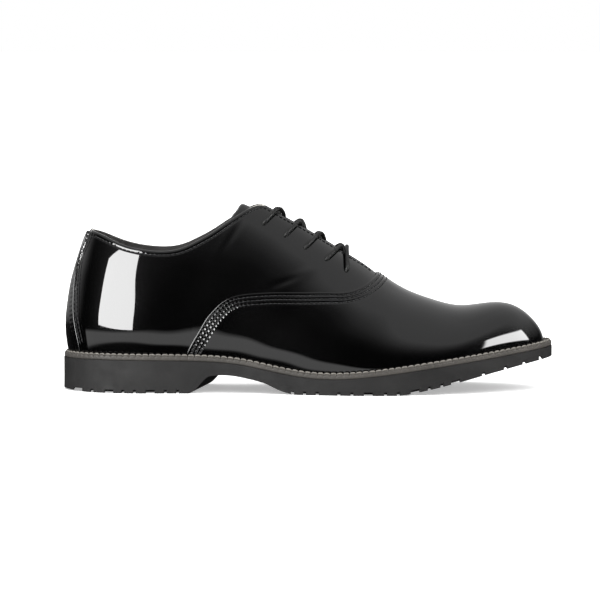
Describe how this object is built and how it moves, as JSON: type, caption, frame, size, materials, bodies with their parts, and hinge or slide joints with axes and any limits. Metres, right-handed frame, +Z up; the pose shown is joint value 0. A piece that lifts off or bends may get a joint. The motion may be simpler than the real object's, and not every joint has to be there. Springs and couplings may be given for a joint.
{
  "type": "oxford shoe",
  "caption": "Men's plain-toe lace-up oxford, right foot: glossy leather upper, closed lacing, stitched welt and lugged rubber sole with a low heel.",
  "frame": {"origin": "on the ground, under the middle of the shoe's bounding box", "axes": "+X towards the toe, +Y towards the inner (medial) side, +Z up"},
  "size_m": [0.305, 0.1059, 0.1161],
  "materials": {
    "patent_leather": "high gloss",
    "lining_leather": "matte",
    "backing_cloth": "matte",
    "stiffener_board": "matte",
    "sole_rubber": "matte",
    "welt_rubber": "satin",
    "thread": "matte",
    "welt_thread": "matte",
    "insole_board": "matte",
    "cork": "matte",
    "foam": "matte",
    "shank_steel": "brushed",
    "eyelet_metal": "satin",
    "lace_cord": "waxed matte",
    "lace_tip": "gloss"
  },
  "bodies": {
    "shoe": {"backstay": "patent_leather", "backstay_stitching": "thread", "eyelets_lateral": "eyelet_metal", "eyelets_medial": "eyelet_metal", "facing_stay_lateral": "backing_cloth", "facing_stay_medial": "backing_cloth", "filler": "cork", "footbed": "foam", "heel_counter": "stiffener_board", "insole_board": "insole_board", "lace": "lace_cord", "lace_tips": "lace_tip", "outsole": "sole_rubber", "quarter_backing_lateral": "backing_cloth", "quarter_backing_medial": "backing_cloth", "quarter_lateral": "patent_leather", "quarter_lining_lateral": "lining_leather", "quarter_lining_medial": "lining_leather", "quarter_medial": "patent_leather", "shank": "shank_steel", "sock_liner": "lining_leather", "toe_stiffener": "stiffener_board", "topline_stitching": "thread", "vamp": "patent_leather", "vamp_backing": "backing_cloth", "vamp_lining": "lining_leather", "vamp_stitching": "thread", "welt": "welt_rubber", "welt_stitching": "welt_thread"},
    "tongue": {"tongue": "patent_leather", "tongue_foam": "foam", "tongue_lining": "lining_leather"}
  },
  "joints": [
    {"name": "tongue_hinge", "type": "hinge", "parent": "shoe", "child": "tongue", "pos_m": [0.04232, 0, 0.0654], "axis": [0, 1, 0], "range_deg": [-14, 0], "stiffness_Nm_per_rad": 0.15, "springref_deg": 8.59}
  ]
}
